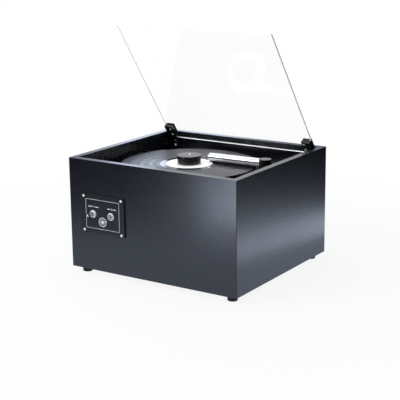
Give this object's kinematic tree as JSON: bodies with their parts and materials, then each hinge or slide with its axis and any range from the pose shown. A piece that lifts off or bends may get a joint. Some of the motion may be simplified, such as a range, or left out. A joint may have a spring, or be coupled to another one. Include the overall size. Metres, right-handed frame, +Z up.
{
  "type": "record cleaning machine",
  "caption": "Box-shaped cleaning machine for vinyl records with a motor-driven platter, a suction arm, a screwless clamp, toggle switches and a clear hinged lid.",
  "frame": {"origin": "on the floor under the middle of the machine's overall box, which is also the middle of the cabinet", "axes": "+Z up, -Y out of the front panel with the switches, +X to the right as seen from the front"},
  "size_m": [0.41, 0.416, 0.5103],
  "materials": {
    "black_laminate": "satin black laminate over board",
    "base_board": "raw dark board",
    "cleat_wood": "plain softwood",
    "deck_black": "matt black paint",
    "dark_screw": "blackened steel",
    "foot_rubber": "matt",
    "steel": "zinc plated",
    "plate_black": "black anodised",
    "bright_screw": "polished",
    "switch_metal": "nickel plated",
    "lever_chrome": "polished",
    "clear_acrylic": "clear polished acrylic",
    "hinge_black": "semi-gloss black",
    "vinyl": "glossy grooved vinyl",
    "label_paper": "plain white",
    "clamp_black": "black anodised, turned",
    "seal_rubber": "matt",
    "platter_metal": "black anodised",
    "mat_rubber": "matt",
    "cast_alloy": "as turned",
    "bronze": "sintered bronze",
    "motor_grey": "grey paint",
    "arm_chrome": "polished",
    "post_black": "semi-gloss black",
    "velvet": "short pile",
    "black_plastic": "moulded",
    "hose_rubber": "smooth",
    "tank_plastic": "milky moulded",
    "impeller_alloy": "pressed",
    "terminal_cream": "moulded",
    "wire_jacket": "insulation",
    "tap_grey": "moulded",
    "tap_red": "moulded"
  },
  "bodies": {
    "cabinet": {"front_panel": "black_laminate", "back_panel": "black_laminate", "left_panel": "black_laminate", "right_panel": "black_laminate", "base_panel": "base_board", "deck_plate": "deck_black", "deck_cleats": "cleat_wood", "deck_screws": "dark_screw", "rubber_feet": "foot_rubber", "foot_screws": "steel", "control_plate": "plate_black", "control_plate_screws": "bright_screw", "turntable_switch": "switch_metal", "vacuum_switch": "switch_metal", "switch_nuts": "bright_screw", "hinge_base_left": "hinge_black", "hinge_base_right": "hinge_black", "hinge_pins": "steel", "hinge_screws": "bright_screw", "bearing_housing": "cast_alloy", "bearing_bushes": "bronze", "turntable_motor": "motor_grey", "motor_bracket": "cast_alloy", "arm_bush": "black_plastic", "arm_bush_nut": "black_plastic", "inlet_hose": "hose_rubber", "waste_tank": "tank_plastic", "tank_lid": "black_plastic", "suction_hose": "hose_rubber", "fan_housing": "black_plastic", "blower_motor": "motor_grey", "blower_ring": "hose_rubber", "exhaust_grille": "black_plastic", "power_inlet": "black_plastic", "rear_screws": "steel", "terminal_block": "terminal_cream", "wiring": "wire_jacket", "drain_tap": "tap_grey"},
    "lid": {"lid_sheet": "clear_acrylic", "lid_clip_left": "hinge_black", "lid_clip_right": "hinge_black", "lid_clip_screws": "bright_screw"},
    "turntable": {"platter": "platter_metal", "platter_mat": "mat_rubber", "platter_shaft": "steel", "shaft_coupling": "cast_alloy", "motor_output_shaft": "steel", "record": "vinyl", "record_labels": "label_paper"},
    "clamp": {"record_clamp": "clamp_black", "clamp_seal": "seal_rubber"},
    "arm_swivel": {"swivel_sleeve": "bronze"},
    "suction_arm": {"arm_post": "post_black", "arm_tube": "arm_chrome", "velvet_strips": "velvet"},
    "fan": {"impeller": "impeller_alloy", "blower_shaft": "steel"},
    "turntable_toggle": {"turntable_lever": "lever_chrome"},
    "vacuum_toggle": {"vacuum_lever": "lever_chrome"},
    "drain_lever": {"drain_handle": "tap_red"}
  },
  "joints": [
    {"name": "lid_hinge", "type": "hinge", "parent": "cabinet", "child": "lid", "pos_m": [0, 0.1596, 0.2384], "axis": [-1, 0, 0], "range_deg": [-54.5, 0]},
    {"name": "platter_spin", "type": "hinge", "parent": "cabinet", "child": "turntable", "pos_m": [-0.027, 0, 0.221], "axis": [0, 0, 1], "continuous": true},
    {"name": "clamp_lift", "type": "slide", "parent": "turntable", "child": "clamp", "axis": [0, 0, 1], "range_m": [0, 0.025]},
    {"name": "arm_swing", "type": "hinge", "parent": "cabinet", "child": "arm_swivel", "pos_m": [0.1355, 0.0425, 0.221], "axis": [0, 0, -1], "range_deg": [0, 57]},
    {"name": "arm_lift", "type": "slide", "parent": "arm_swivel", "child": "suction_arm", "axis": [0, 0, 1], "range_m": [0, 0.008]},
    {"name": "fan_spin", "type": "hinge", "parent": "cabinet", "child": "fan", "pos_m": [-0.125, 0.09, 0.104], "axis": [0, 0, 1], "continuous": true},
    {"name": "turntable_switch_throw", "type": "hinge", "parent": "cabinet", "child": "turntable_toggle", "pos_m": [-0.14165, -0.187, 0.1365], "axis": [-1, 0, 0], "range_deg": [-15, 15]},
    {"name": "vacuum_switch_throw", "type": "hinge", "parent": "cabinet", "child": "vacuum_toggle", "pos_m": [-0.09535, -0.187, 0.1365], "axis": [-1, 0, 0], "range_deg": [0, 30]},
    {"name": "drain_valve", "type": "hinge", "parent": "cabinet", "child": "drain_lever", "pos_m": [0.15, 0.1905, 0.05], "axis": [0, 0, 1], "range_deg": [0, 90]}
  ]
}
